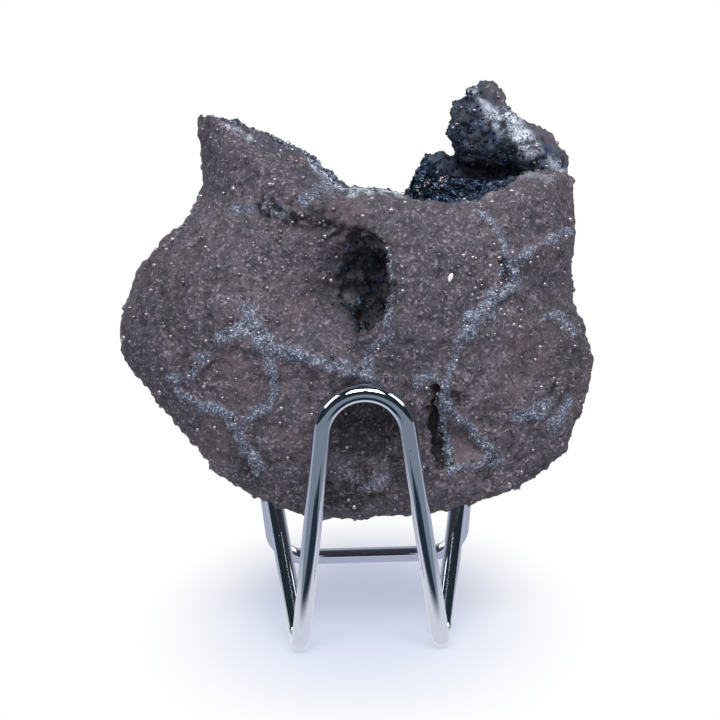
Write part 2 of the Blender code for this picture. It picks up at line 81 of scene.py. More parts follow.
# %% [markdown]
# ## The camera
# A small stone is shot from close by with a longish lens, looking slightly down. The camera is
# made first, because marks on the stone are laid out as they look from here: a seam is far easier
# to place by the pixels it runs through than by three coordinates.

# %% Make the camera
CAMERA_PLACE_MM = (-0.46, -214.0, 86.0)
LOOKING_DOWN = math.radians(10.0)
LEANING = math.radians(1.6)
PICTURE_PIXELS = 720.0
PIXELS_PER_TANGENT = 1387.0

ahead = Vector((0.0, math.cos(LOOKING_DOWN), -math.sin(LOOKING_DOWN)))
level_right = Vector((1.0, 0.0, 0.0))
level_up = level_right.cross(ahead)
right = level_right * math.cos(LEANING) - level_up * math.sin(LEANING)
up = level_up * math.cos(LEANING) + level_right * math.sin(LEANING)
camera_place = Vector(to_model(CAMERA_PLACE_MM))

lens = bpy.data.cameras.new("camera")
lens.sensor_width = 36.0
lens.lens = PIXELS_PER_TANGENT / PICTURE_PIXELS * lens.sensor_width
lens.clip_start = 0.01
camera = bpy.data.objects.new("camera", lens)
camera.matrix_world = Matrix.Translation(camera_place) @ Matrix(
    (right, up, -ahead)).transposed().to_4x4()
bpy.context.scene.collection.objects.link(camera)
bpy.context.scene.camera = camera


def pixels_of(points):
    """Where points show in the picture: columns across, rows down."""
    away = points - np.array(camera_place)
    depth = away @ np.array(ahead)
    across = PICTURE_PIXELS / 2 + PIXELS_PER_TANGENT * (away @ np.array(right)) / depth
    down = PICTURE_PIXELS / 2 - PIXELS_PER_TANGENT * (away @ np.array(up)) / depth
    return np.stack((across, down), axis=1)


print("camera at", [round(c / MM, 1) for c in camera_place], "mm, lens", round(lens.lens, 1), "mm")

# %% [markdown]
# ## Writing nodes as sums
# Node trees are easier to read as formulas. One small class wraps an output of a node. Sums on it
# add Math nodes, and its one method, `node`, adds any other kind of node. The same class serves
# materials and Geometry Nodes.

# %% A socket that does maths


class Socket:
    """An output of a node in a tree, or just the tree to begin with."""

    def __init__(self, tree, output=None):
        self.tree, self.output = tree, output

    def node(self, kind, settings=None, inputs=None, output=0):
        """Adds a node: its settings first, then values or links for its inputs."""
        made = self.tree.nodes.new(kind)
        for name, value in (settings or {}).items():
            setattr(made, name, value)
        for name, value in (inputs or {}).items():
            if isinstance(value, Socket):
                self.tree.links.new(value.output, made.inputs[name])
            else:
                made.inputs[name].default_value = value
        return Socket(self.tree, made.outputs[output])

    def maths(self, operation, first, second=0.0):
        return self.node("ShaderNodeMath", {"operation": operation}, {0: first, 1: second})

    def __add__(self, other):
        return self.maths("ADD", self, other)

    def __sub__(self, other):
        return self.maths("SUBTRACT", self, other)

    def __mul__(self, other):
        return self.maths("MULTIPLY", self, other)

    def __rsub__(self, other):
        return self.maths("SUBTRACT", other, self)

    __radd__, __rmul__ = __add__, __mul__

    def between(self, low, high):
        """0 below low, 1 above high, and a smooth step from one to the other."""
        settings = {"interpolation_type": "SMOOTHSTEP"}
        return self.node("ShaderNodeMapRange", settings, {0: self, 1: low, 2: high})

    def blend(self, base, top):
        """A mix of two colours, with this socket as the share of the top one."""
        return self.node(
            "ShaderNodeMix", {"data_type": "RGBA", "clamp_factor": True},
            {0: self, 6: base, 7: top}, output=2)


def colour(red, green, blue):
    """A colour given as it looks on screen, 0 to 255, as linear light with alpha."""
    def linear(value):
        value /= 255
        return value / 12.92 if value <= 0.04045 else ((value + 0.055) / 1.055) ** 2.4
    return (linear(red), linear(green), linear(blue), 1.0)


def new_finish(name):
    """A material with a Principled shader, and a Socket to start its formulas from."""
    material = bpy.data.materials.new(name)
    material.use_nodes = True
    start = Socket(material.node_tree)
    shader = material.node_tree.nodes["Principled BSDF"]
    return material, start, shader


def plug(shader, **values):
    """Sets or links the shader's inputs. An underscore in a name stands for a space."""
    for name, value in values.items():
        target = shader.inputs[name.replace("_", " ")]
        if isinstance(value, Socket):
            value.tree.links.new(value.output, target)
        else:
            target.default_value = value


def pattern(start, size_mm, detail=2.0, roughness=0.5, shift=0.0):
    """Cloudy noise in the piece's own space, with lumps of a given size, from 0 to 1."""
    place = start.node("ShaderNodeTexCoord", output="Object")
    moved = start.node("ShaderNodeMapping", None, {"Vector": place, "Location": (shift, 0, 0)})
    return start.node("ShaderNodeTexNoise", None, {
        "Vector": moved, "Scale": 1 / (size_mm * MM), "Detail": detail, "Roughness": roughness})


def attribute(start, name):
    """A mask that is stored on the piece's points."""
    return start.node("ShaderNodeAttribute", {"attribute_name": name}, output="Fac")


print("a screen grey of 128 is", round(colour(128, 128, 128)[0], 3), "as linear light")

# %% [markdown]
# ## The skin of the stone
# The solid has flat facets a few millimetres across. A real nodule has none, so its copy is
# remeshed into small even squares and then smoothed until the facets are gone. Those squares can
# carry grains, seams and cracks as real relief, which a bump map alone can't show in the outline.

# %% Copy, remesh and soften the stone
SKIN_SQUARE = 0.52 * MM


def merged_copy(node):
    """A copy of a solid's mesh whose loose triangles share their corners again."""
    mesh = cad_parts[node].data.copy()
    shape = bmesh.new()
    shape.from_mesh(mesh)
    bmesh.ops.remove_doubles(shape, verts=shape.verts, dist=0.002 * MM)
    shape.to_mesh(mesh)
    shape.free()
    return mesh


def add_piece(name, mesh):
    piece = bpy.data.objects.new(name, mesh)
    bpy.context.scene.collection.objects.link(piece)
    return piece


def plain_mesh(piece):
    """The piece's mesh as its modifiers leave it."""
    bpy.context.view_layer.update()
    graph = bpy.context.evaluated_depsgraph_get()
    return bpy.data.meshes.new_from_object(piece.evaluated_get(graph))


rough_stone = add_piece("rough_stone", merged_copy("pyrolusite_mass"))
squares = rough_stone.modifiers.new("squares", "REMESH")
squares.mode, squares.voxel_size = "VOXEL", SKIN_SQUARE
settle = rough_stone.modifiers.new("settle", "SMOOTH")
settle.factor, settle.iterations = 0.5, 9
skin = plain_mesh(rough_stone)
bpy.data.objects.remove(rough_stone)
print("skin", len(skin.vertices), "points,", 2 * len(skin.polygons), "triangles")

# %% [markdown]
# ## Reading and moving points
# The relief is worked out with numpy on all the points at once. Lines drawn in the picture act on
# the points that the camera sees on the front of the stone. The far side of the stone never shows
# there, so it gets marks from noise instead.

# %% Helpers for points


def read_points(mesh):
    points = np.empty(len(mesh.vertices) * 3)
    mesh.vertices.foreach_get("co", points)
    return points.reshape(-1, 3)


def read_normals(mesh):
    normals = np.empty(len(mesh.vertices) * 3)
    mesh.vertex_normals.foreach_get("vector", normals)
    return normals.reshape(-1, 3)


def write_points(mesh, points):
    mesh.vertices.foreach_set("co", points.ravel())
    mesh.update()


def cloud(points, size_mm, shift=0.0):
    """Smooth noise at each point, about -0.5 to 0.5, with lumps of a given size."""
    scaled = points / (size_mm * MM) + (shift, shift / 2, -shift)
    return np.array([noise.noise(Vector(place)) for place in scaled])


def near_line(places, line):
    """How far each picture place is from a line of pixels."""
    nearest = np.full(len(places), np.inf)
    corners = np.array(line, float)
    for start, end in zip(corners[:-1], corners[1:]):
        along = end - start
        share = np.clip((places - start) @ along / (along @ along), 0, 1)
        away = np.linalg.norm(places - start - share[:, None] * along, axis=1)
        nearest = np.minimum(nearest, away)
    return nearest


def step(values, low, high):
    """0 below low, 1 above high, smooth between."""
    share = np.clip((values - low) / (high - low), 0, 1)
    return share * share * (3 - 2 * share)


def relax(mesh, points, share, rounds):
    """Pulls each point towards the middle of its neighbours, each by its own share."""
    ends = np.empty(len(mesh.edges) * 2, int)
    mesh.edges.foreach_get("vertices", ends)
    first, second = ends.reshape(-1, 2).T
    neighbours = np.bincount(ends, minlength=len(points))[:, None]
    for _ in range(rounds):
        total = np.stack([
            np.bincount(first, points[second, axis], len(points))
            + np.bincount(second, points[first, axis], len(points)) for axis in range(3)], axis=1)
        points = points + share[:, None] * (total / neighbours - points)
    return points


print("skin reaches up to", (read_points(skin).max(axis=0) / MM).round(1), "mm")

# %% [markdown]
# ## A softer slope into the pit
# The pit in the front is a scoop with two different sides: on the left a soft slope runs down into
# it, and on the right it ends in one even rim. The facets of the solid still show there as waves,
# so the points of both are relaxed much further. The middle of the rim is then drawn in by a
# little over a millimetre, which makes its curve even.

# %% Relax the slope and draw in the rim
SLOPE_MIDDLE, SLOPE_REACH = np.array((316, 284)), np.array((76, 70))
GROOVE = ((250, 204), (300, 218), (340, 230), (368, 240))
RIM_LIP = ((404, 285), (402, 310), (392, 336))
RIM_MIDDLE, RIM_REACH, DRAWN_IN = np.array((399, 292)), np.array((15, 34)), 1.3 * MM

points = read_points(skin)
pixels = pixels_of(points)
in_front = step(-points[:, 1], 0, 6 * MM)
slope = 1 - step(np.linalg.norm((pixels - SLOPE_MIDDLE) / SLOPE_REACH, axis=1), 0.75, 1.0)
slope *= 1 - step(pixels[:, 0], 362, 378)
slope = np.maximum(slope, 0.8 * (1 - step(near_line(pixels, GROOVE), 14, 26)))
slope = np.maximum(slope, 1 - step(near_line(pixels, RIM_LIP), 9, 14)) * in_front
points = relax(skin, points, 0.7 * slope, 150)
drawn = np.exp(-(np.linalg.norm((pixels - RIM_MIDDLE) / RIM_REACH, axis=1) ** 2)) * in_front
points[:, 0] -= DRAWN_IN * drawn
write_points(skin, points)
print("relaxed points", int((slope > 0.5).sum()), "drawn in", int((drawn > 0.5).sum()))

# %% [markdown]
# ## The front of the stone
# A mark drawn in the picture must not print through to the back. Each point gets a share that is
# 1 where it faces the camera on the front half of the stone, and fades to 0 towards the edges.

# %% Find which points the camera sees
FRONT_FADES_Y = (22, 26)
points, normals = read_points(skin), read_normals(skin)
easel_places = points / MM - EASEL_OFFSET
pixels = pixels_of(points)
to_camera = np.array(camera_place) - points
to_camera /= np.linalg.norm(to_camera, axis=1)[:, None]
facing = step(np.einsum("ij,ij->i", normals, to_camera), 0.02, 0.3)
front = facing * (1 - step(easel_places[:, 1], *FRONT_FADES_Y))
print("points on the front", int((front > 0.5).sum()))

# %% [markdown]
# ## Marks on the stone
# Manganite fills old cracks in the pyrolusite and stands a little proud as seams of blue-grey
# crystals. Each line below gives the pixels that a seam runs through, its half width in pixels and
# how strong it is. Noise breaks its edge and lets it fade in places. Cracks are drawn in the same
# way, with a depth in millimetres. Rusty patches are round, with a radius and a strength. So are the
# patches of painted shade, which darken the skin under the arch of the wire and on the lobes.

# %% Lay out seams, cracks and patches in the picture
SEAMS = (
    (((576, 229), (561, 233), (547, 243), (532, 247), (520, 257), (510, 267)), 3.6, 0.8),
    (((510, 267), (511, 285), (500, 296), (485, 308), (471, 322), (467, 333)), 6.5, 1.0),
    (((467, 333), (457, 352), (450, 370), (447, 390), (445, 405)), 4.0, 0.6),
    (((466, 198), (486, 215), (500, 232), (505, 252), (510, 267)), 4.5, 0.55),
    (((218, 336), (240, 331), (252, 322), (249, 312)), 6.0, 0.75),
    (((257, 330), (266, 346), (284, 352), (294, 362)), 7.0, 1.0),
    (((294, 355), (308, 357), (330, 366), (345, 364)), 4.5, 0.7),
    (((266, 350), (272, 368), (277, 385), (270, 402), (257, 412), (244, 421)), 4.0, 0.7),
    (((172, 380), (182, 396), (200, 405), (220, 412), (231, 421), (239, 436), (246, 449),
      (256, 467)), 4.5, 0.75),
    (((186, 378), (196, 366), (204, 360)), 5.0, 0.6),
    (((391, 333), (380, 341), (371, 349), (365, 372)), 4.0, 0.65),
    (((345, 372), (358, 371), (374, 382)), 5.0, 0.55),
    (((418, 384), (432, 373), (443, 388)), 5.0, 0.6),
    (((440, 396), (441, 427), (446, 450), (451, 468)), 4.5, 1.0),
    (((446, 400), (457, 419), (471, 431), (487, 447), (494, 460)), 4.5, 1.0),
    (((451, 468), (470, 467), (495, 462)), 2.5, 0.7),
    (((544, 318), (556, 313), (566, 322), (572, 331)), 5.5, 0.6),
    (((520, 420), (535, 412), (545, 402)), 6.0, 0.7),
    (((551, 424), (562, 414), (570, 400)), 5.0, 0.5),
    (((234, 209), (262, 207), (285, 212)), 5.0, 0.6),
    (((340, 470), (366, 486), (392, 478)), 9.0, 0.28),
    (((336, 190), (328, 184), (305, 198)), 6.0, 0.5),
    (((386, 246), (390, 262), (392, 285), (391, 306), (387, 324)), 2.2, 0.75),
)
CRACKS = (
    (((436, 388), (434, 410), (435, 430), (439, 452), (442, 468)), 3.2, 1.7),
    (((497, 462), (490, 470), (486, 480)), 2.2, 1.0),
    (((503, 262), (508, 270), (506, 280), (500, 290)), 2.0, 1.1),
    (((557, 384), (553, 396), (548, 402)), 2.0, 0.7),
    (((262, 212), (280, 221), (304, 230)), 2.6, 0.7),
    (((296, 206), (304, 212), (312, 226), (322, 222), (336, 228)), 2.2, 0.8),
    (((280, 200), (290, 206), (300, 205)), 1.8, 0.6),
)
# painted shade: dark patches under the arch of the wire, under the crumbling overhang and on the lobes
SHADE_PATCHES = (
    ((370, 428), 48, 1.0), ((352, 490), 30, 0.9), ((450, 400), 12, 1.0), ((255, 470), 20, 0.7),
    ((150, 310), 80, 0.3), ((560, 350), 60, 0.3), ((325, 222), 24, 0.5), ((372, 240), 16, 0.5),
)
RUSTY_PATCHES = (
    ((236, 376), 30, 1.0), ((468, 450), 20, 1.0), ((497, 275), 14, 1.0), ((530, 348), 30, 1.0),
    ((345, 215), 30, 1.0), ((290, 300), 26, 0.8), ((540, 250), 14, 0.8), ((520, 385), 24, 1.0),
    ((210, 440), 26, 1.0), ((300, 440), 28, 1.0),
)
CHIP_CORNERS = ((449, 412), (490, 459), (451, 464))

seam = np.zeros(len(points))
for line, half_width, strength in SEAMS:
    ragged = 1.3 * cloud(points, 2.2, shift=half_width) + 0.5 * cloud(points, 1.1, shift=half_width)
    ragged = np.maximum(0.7 + ragged, 0.25)
    fading = strength * (0.98 + 0.7 * cloud(points, 5.0, shift=half_width + 3))
    across = near_line(pixels, line) / half_width
    seam = np.maximum(seam, fading * np.exp(-(across**2) * ragged))
seam *= front
crack = np.zeros(len(points))
for line, half_width, depth in CRACKS:
    jagged = near_line(pixels, line) / half_width + 1.2 * cloud(points, 1.6, shift=depth)
    crack = np.maximum(crack, depth * np.exp(-np.maximum(jagged, 0) ** 2))
crack *= front
uneven = cloud(points, 3.0) * 0.8


def patches(where):
    """A soft mask, high inside any of the round patches, each with its own strength."""
    masks = [
        strength * (1 - step(np.linalg.norm(pixels - centre, axis=1) / radius + uneven, 0.4, 1.2))
        for centre, radius, strength in where]
    return np.max(masks, axis=0) * front


rusty, painted_shade = patches(RUSTY_PATCHES), patches(SHADE_PATCHES)
chip = np.full(len(points), 99.0)
for start, end in zip(CHIP_CORNERS, CHIP_CORNERS[1:] + CHIP_CORNERS[:1]):
    side = np.array((start[1] - end[1], end[0] - start[0]), float)
    chip = np.minimum(chip, (pixels - start) @ side / np.linalg.norm(side))
chip = step(chip, -1.0, 2.5) * front
print("seams cover", int((seam > 0.4).sum()), "points, the chip", int((chip > 0.5).sum()))

# %% [markdown]
# ## Seams on the unseen sides
# The back and flanks get seams of the same kind. Where a smooth noise passes through zero it draws
# long wandering lines, and a second, broader noise switches most of them off.

# %% Seams from noise on the back
BACK_BEGINS_Y = (14, 22)
behind = 1 - (1 - step(easel_places[:, 1], *BACK_BEGINS_Y)) * facing
wander = np.abs(cloud(points, 19.0, shift=4.0) + 0.25 * cloud(points, 5.0, shift=8.0))
present = step(cloud(points, 26.0, shift=13.0), -0.02, 0.14)
seam = np.maximum(seam, 0.8 * (1 - step(wander, 0.012, 0.05)) * present * behind)
rusty = np.maximum(rusty, 0.8 * step(cloud(points, 17.0, shift=31.0), 0.08, 0.3) * behind)
print("seams now cover", int((seam > 0.4).sum()), "points")

# %% [markdown]
# ## The open hollow
# The top of the nodule broke away and left an open hollow. It is lined with black crystals. Its far
# wall and patches on top of the wall are slate grey. Right of a bright streak, the tall horn shows
# the brown skin again. The points of the hollow are those whose faces look towards its middle.

# %% Find the hollow and its slate grey wall
HOLLOW_MIDDLE, HOLLOW_REACH, HOLLOW_LOWEST = (7.5, 25.5), (27, 19.5), 58
x, y, z = easel_places.T
inward = -(normals[:, 0] * (x - HOLLOW_MIDDLE[0]) + normals[:, 1] * (y - HOLLOW_MIDDLE[1]))
inward /= np.hypot(x - HOLLOW_MIDDLE[0], y - HOLLOW_MIDDLE[1]) + 1e-6
across, along = (x - HOLLOW_MIDDLE[0]) / HOLLOW_REACH[0], (y - HOLLOW_MIDDLE[1]) / HOLLOW_REACH[1]
near_hollow = (across**2 + along**2 < 1.25) & (z > HOLLOW_LOWEST)
hollow = step(inward, 0.1, 0.5) * near_hollow
far_wall = step(facing + normals[:, 2], 0.1, 0.5) * step(y, 24, 28) * step(z, 72, 76)
wall_top = step(normals[:, 2], 0.35, 0.75) * (z > 70) * near_hollow
wall_top *= np.clip(1 - step(pixels[:, 0], 396, 420) + step(y, 28, 32), 0, 1)
patchy = step(cloud(points, 2.6, shift=17.0), -0.12, 0.16)
slate = np.maximum(far_wall, 0.5 * wall_top * patchy)
STREAK_ROWS, STREAK_COLUMNS = (85, 105, 122, 140, 160, 180), (480, 494, 518, 540, 566, 588)
beyond_streak = pixels[:, 0] - np.interp(pixels[:, 1], STREAK_ROWS, STREAK_COLUMNS)
slate *= 1 - 0.75 * step(beyond_streak, 0, 9) * (y > 24)
horn_dark = far_wall * (1 - step(beyond_streak, -16, -4))
hollow *= 1 - 0.85 * far_wall
print("hollow", int((hollow > 0.5).sum()), "points, slate", int((slate > 0.5).sum()))

# %% [markdown]
# ## The fresh break
# Where the wall broke last it is silvery. The break shows as short streaks on the tall horn, along
# the left edge and faintly over the hump on the right. They are drawn as the seams are.

# %% Lay out the silvery break
HORN_BREAK = (
    (((468, 84), (478, 96), (489, 108)), 5, 0.45),
    (((489, 112), (506, 118), (518, 126)), 10, 0.55),
    (((504, 122), (516, 132), (527, 146)), 12, 0.85),
    (((548, 158), (558, 166), (566, 178)), 7, 0.4),
)
LEFT_BREAK = (
    (((226, 122), (250, 138)), 5, 0.45),
    (((312, 158), (326, 168), (340, 182), (352, 190)), 8, 0.7),
    (((352, 190), (392, 190), (404, 194)), 5, 0.6),
)
RIGHT_HUMP = ((((488, 194), (500, 182), (516, 174), (536, 172), (552, 178)), 9, 0.26),)
broken = np.zeros(len(points))
for lines, where in (
    (HORN_BREAK, facing * step(y, 24, 28) * (z > 70)),
    (LEFT_BREAK + RIGHT_HUMP, facing * (z > 68) * (y < 30)),
):
    for line, half_width, strength in lines:
        near = np.exp(-((near_line(pixels, line) / half_width) ** 2))
        broken = np.maximum(broken, strength * near * where)
print("broken", int((broken > 0.4).sum()), "points")

# %% [markdown]
# ## The dark of the pit
# The pit is dark where it is deep, partly from its dark lining and partly as painted shade: grains
# creep in from the left, and the rim on the right cuts the dark off sharply. Small holes run along
# the crumbling edge above it.

# %% Find the pit and the crumbling edge
PIT_MIDDLE, PIT_REACH = np.array((362, 284)), np.array((34, 56))
in_pit = 1 - step(np.linalg.norm((pixels - PIT_MIDDLE) / PIT_REACH, axis=1), 0.6, 1.25)
from_left = step(pixels[:, 0] + 40 * cloud(points, 2.4, shift=19.0), 300, 344)
RIM_ROWS, RIM_COLUMNS = (225, 245, 262, 285, 306, 324, 340), (366, 384, 390, 392, 391, 387, 378)
inside_rim = 1 - step(pixels[:, 0] - np.interp(pixels[:, 1], RIM_ROWS, RIM_COLUMNS), -3.5, 0.5)
pit = front * in_pit * from_left * inside_rim * step(y, -2.5, 0.5)
CRUMBLY_EDGE = ((262, 206), (300, 216), (340, 228), (372, 240), (386, 254))
crumbly = front * np.exp(-((near_line(pixels, CRUMBLY_EDGE) / 15) ** 2))
spotty = 0.48 + 1.1 * cloud(points, 1.8, shift=21.0) + 0.9 * cloud(points, 0.9)
holes = step(crumbly * spotty, 0.4, 0.66)
print("pit", int((pit > 0.5).sum()), "points, holes", int((holes > 0.5).sum()))

# %% [markdown]
# ## Relief
# Grains of about a millimetre cover the whole skin, standing on lumps of two to four millimetres.
# Both are stronger in the pit and along the crumbling edge above it, and half as strong on the
# chip. Seams stand proud, cracks and holes cut in.

# %% Move the points
lumps = 0.45 * cloud(points, 4.2, shift=1.0) + 0.32 * cloud(points, 2.2, shift=2.0)
grains = 0.36 * cloud(points, 1.25, shift=5.0) + 0.3 * cloud(points, 0.8, shift=6.0)
coarse = 1.0 + 0.6 * seam + 1.4 * pit + 0.9 * crumbly + 0.5 * horn_dark
swollen = 1.0 + 1.2 * crumbly + 1.6 * pit + 0.9 * horn_dark
lift_mm = (lumps * swollen + grains * coarse) * (1 - 0.5 * chip)
lift_mm += 0.35 * seam * (1 + 2.2 * cloud(points, 1.1, shift=9.0)) - crack - 0.6 * holes
lift_mm += 0.5 * broken * cloud(points, 1.8, shift=12.0) - 0.12
# under the wire the skin keeps its distance
WIRE_LINE = ((330, 450), (334, 415), (369, 396), (405, 415), (411, 450))
under_wire = front * (1 - step(near_line(pixels, WIRE_LINE), 9, 16)) > 0.3
lift_mm = np.where(under_wire, np.minimum(lift_mm, 0.0), lift_mm)
write_points(skin, points + normals * lift_mm[:, None] * MM)
# painted shade: the low places of the relief are marked to be coloured darker
recess_shade = step(-(grains + 0.6 * lumps), 0.02, 0.3)


def store(mesh, name, values):
    layer = mesh.attributes.new(name, "FLOAT", "POINT")
    layer.data.foreach_set("value", np.clip(values, 0, 1).astype(np.float32))


for name, values in {
    "seam": seam, "rusty": rusty, "broken": broken, "slate": slate, "hollow": hollow, "pit": pit,
    # two masks of painted shade are stored here too: one in the low places, one in patches
    "recess_shade": recess_shade, "chip": chip, "painted_shade": painted_shade,
    # the holes and deeper cracks will carry painted shade
    "holes": np.maximum(holes, step(crack, 0.6, 1.6)),
}.items():
    store(skin, name, values)
skin.polygons.foreach_set("use_smooth", np.ones(len(skin.polygons), bool))
stone = add_piece("pyrolusite_skin", skin)
print("relief from", lift_mm.min().round(2), "to", lift_mm.max().round(2), "mm")

# %% [markdown]
# ## The finish of pyrolusite
# Pyrolusite is a soft, sooty manganese oxide. Its grains are purple-brown to black and slightly
# metallic. The ground colour mixes broad patches with single grains, some pale and some almost
# black. It then lays rust, painted shade in the low places and patches of painted shade over them,
# by the masks stored on the skin.

# %% Mix the ground colour
pyrolusite, start, shader = new_finish("pyrolusite_skin")
fine = pattern(start, 0.6, detail=3.0, roughness=0.65)
medium = pattern(start, 2.4, detail=3.0, shift=3.0)
broad = pattern(start, 13.0, detail=2.0, shift=7.0)
speckle_and_glint = pattern(start, 0.32, detail=1.0, shift=11.0)
cells = start.node("ShaderNodeTexVoronoi", {"feature": "F1"}, {
    "Vector": start.node("ShaderNodeTexCoord", output="Object"), "Scale": 1 / (0.36 * MM)}, "Color")
grain = cells.node("ShaderNodeSeparateColor", None, {0: cells})
ground = broad.between(0.38, 0.62).blend(colour(68, 63, 73), colour(80, 73, 81))
ground = medium.between(0.42, 0.7).blend(ground, colour(62, 59, 71))
ground = (grain.between(0.6, 1.0) * fine.between(0.4, 0.6)).blend(ground, colour(126, 117, 128))
ground = ((1 - grain).between(0.6, 1.0) * 0.75).blend(ground, colour(35, 31, 38))
# painted shade in the low places of the relief
ground = (attribute(start, "recess_shade") * 0.5).blend(ground, colour(30, 27, 33))
rust_share = attribute(start, "rusty") * medium.between(0.25, 0.6) * 0.45
ground = rust_share.blend(ground, colour(90, 72, 76))
# painted shade: the patches under the wire's arch, under the overhang and on the lobes turn near black
shade_share = attribute(start, "painted_shade") * (1.25 - grain * 0.65)
ground = shade_share.blend(ground, colour(23, 18, 25))
ground = (attribute(start, "chip") * medium.between(0.3, 0.6) * 0.75).blend(ground, colour(86, 74, 78))
print("ground colour from", len(pyrolusite.node_tree.nodes), "nodes")

# %% [markdown]
# ## Manganite, slate and break
# The other minerals lie over the ground in turn: steel-blue seams with pale specks that are partly
# painted glints, and the slate grey wall with the silvery break on it. Then come the dark lining of
# the hollow, the dark of the pit, which is partly painted shade, and painted shade in the holes and
# cracks. Manganite and the fresh break are the only parts with a metallic share.

# %% Lay the other minerals over the ground
seam_share = attribute(start, "seam") * 1.45 * fine.between(0.3, 0.52)
# the pale specks on the seams are partly their own paler grains and partly painted glints
steel_blue = speckle_and_glint.between(0.46, 0.7).blend(colour(82, 87, 103), colour(164, 172, 191))
ground = seam_share.between(0.15, 0.8).blend(ground, steel_blue)
slate_grey = medium.between(0.4, 0.62).blend(colour(15, 26, 41), colour(48, 64, 90))
slate_share = attribute(start, "slate")
ground = (slate_share * 0.9).blend(ground, slate_grey)
break_share = attribute(start, "broken") * medium.between(0.25, 0.5)
# the pale specks on the silvery break are partly painted highlights
silver = (medium + speckle_and_glint).between(0.86, 1.1).blend(colour(92, 100, 114), colour(186, 194, 206))
ground = break_share.between(0.1, 0.6).blend(ground, silver)
ground = (attribute(start, "hollow") * 0.9).blend(ground, colour(14, 23, 34))
# the dark of the pit is partly its dark lining and partly painted shade
pit_shade_and_lining = medium.between(0.5, 0.64).blend(colour(20, 18, 26), colour(66, 62, 72))
ground = (attribute(start, "pit") * 0.9).blend(ground, pit_shade_and_lining)
# painted shade: the holes and deeper cracks are coloured near black
ground = (attribute(start, "holes") * 0.85).blend(ground, colour(18, 14, 18))
metal = start.maths("MAXIMUM", seam_share.between(0.2, 0.9) * 0.5, break_share * 0.45)
dull = 0.66 - metal * 0.3 + fine * 0.15 - slate_share * 0.15
relief = start.node("ShaderNodeBump", None, {
    "Strength": 0.55, "Distance": 0.25 * MM, "Height": fine + speckle_and_glint * 0.6})
plug(shader, Base_Color=ground, Metallic=metal, Roughness=dull, Normal=relief)
skin.materials.clear()
skin.materials.append(pyrolusite)
print("whole finish from", len(pyrolusite.node_tree.nodes), "nodes")

# %% [markdown]
# ## Beads, crystals and druse
# Three kinds of small crystal sit on the stone: glassy beads all over the skin, bright grains along
# the seams and black points in the hollow. One kind of Geometry Nodes tree scatters them all. It
# spreads points over a surface, more of them where a mask is high, puts a small shape on each and
# turns it to stand on the surface.

# %% A tree that scatters a small shape over a surface


def scatter_tree(name, shape, mask):
    """Scatters a shape, "bead" or "grain", over faces where a stored mask is high."""
    tree = bpy.data.node_groups.new(name, "GeometryNodeTree")
    tree.interface.new_socket("Geometry", in_out="INPUT", socket_type="NodeSocketGeometry")
    for label, kind in (
        ("Per square metre", "NodeSocketFloat"), ("Smallest", "NodeSocketFloat"),
        ("Largest", "NodeSocketFloat"), ("Sink", "NodeSocketFloat"), ("Tilt", "NodeSocketFloat"),
        ("Seed", "NodeSocketInt"), ("Finish", "NodeSocketMaterial"),
    ):
        tree.interface.new_socket(label, in_out="INPUT", socket_type=kind)
    tree.interface.new_socket("Geometry", in_out="OUTPUT", socket_type="NodeSocketGeometry")
    start = Socket(tree)
    given = tree.nodes.new("NodeGroupInput")
    inputs = {socket.name: Socket(tree, socket) for socket in given.outputs}
    share = start.node("GeometryNodeInputNamedAttribute", {"data_type": "FLOAT"}, {"Name": mask})
    scattered = tree.nodes.new("GeometryNodeDistributePointsOnFaces")
    for label, value in (
        ("Mesh", inputs["Geometry"]), ("Density", inputs["Per square metre"] * share),
        ("Seed", inputs["Seed"]),
    ):
        tree.links.new(value.output, scattered.inputs[label])
    places, outward = (Socket(tree, scattered.outputs[n]) for n in ("Points", "Normal"))
    if shape == "bead":
        small = start.node("GeometryNodeMeshUVSphere", None, {"Segments": 8, "Rings": 5, "Radius": 1.0})
    else:
        small = start.node("GeometryNodeMeshIcoSphere", None, {"Subdivisions": 1, "Radius": 1.0})
    upright = start.node("FunctionNodeAlignRotationToVector", {"axis": "Z"}, {"Vector": outward})
    lean = start.node("FunctionNodeRandomValue", {"data_type": "FLOAT_VECTOR"}, {
        "Min": (-1, -1, -3), "Max": (1, 1, 3), "Seed": inputs["Seed"]})
    lean = start.node("ShaderNodeVectorMath", {"operation": "MULTIPLY"}, {
        0: lean, 1: start.node("ShaderNodeCombineXYZ", None, {
            0: inputs["Tilt"], 1: inputs["Tilt"], 2: 1.0})})
    turned = start.node("FunctionNodeRotateRotation", {"rotation_space": "LOCAL"}, {
        0: upright, 1: start.node("FunctionNodeEulerToRotation", None, {0: lean})})
    size = start.node("FunctionNodeRandomValue", {"data_type": "FLOAT"}, {
        2: inputs["Smallest"], 3: inputs["Largest"], "Seed": inputs["Seed"] + 1}, output=1)
    sunk = start.node("GeometryNodeSetPosition", None, {
        "Geometry": places, "Offset": start.node(
            "ShaderNodeVectorMath", {"operation": "SCALE"}, {0: outward, "Scale": inputs["Sink"]})})
    planted = start.node("GeometryNodeInstanceOnPoints", None, {
        "Points": sunk, "Instance": small, "Rotation": turned, "Scale": size})
    real = start.node("GeometryNodeRealizeInstances", None, {"Geometry": planted})
    finished = start.node("GeometryNodeSetMaterial", None, {
        "Geometry": real, "Material": inputs["Finish"]})
    tree.links.new(finished.output, tree.nodes.new("NodeGroupOutput").inputs[0])
    print(name, "has", len(tree.nodes), "nodes")
    return tree


# %% [markdown]
# ## Keeping what a tree makes
# A tree is a modifier, and its result lasts only as long as the modifier does. So the result is
# read out as a plain mesh, with a piece of its own.

# %% A helper that runs a tree


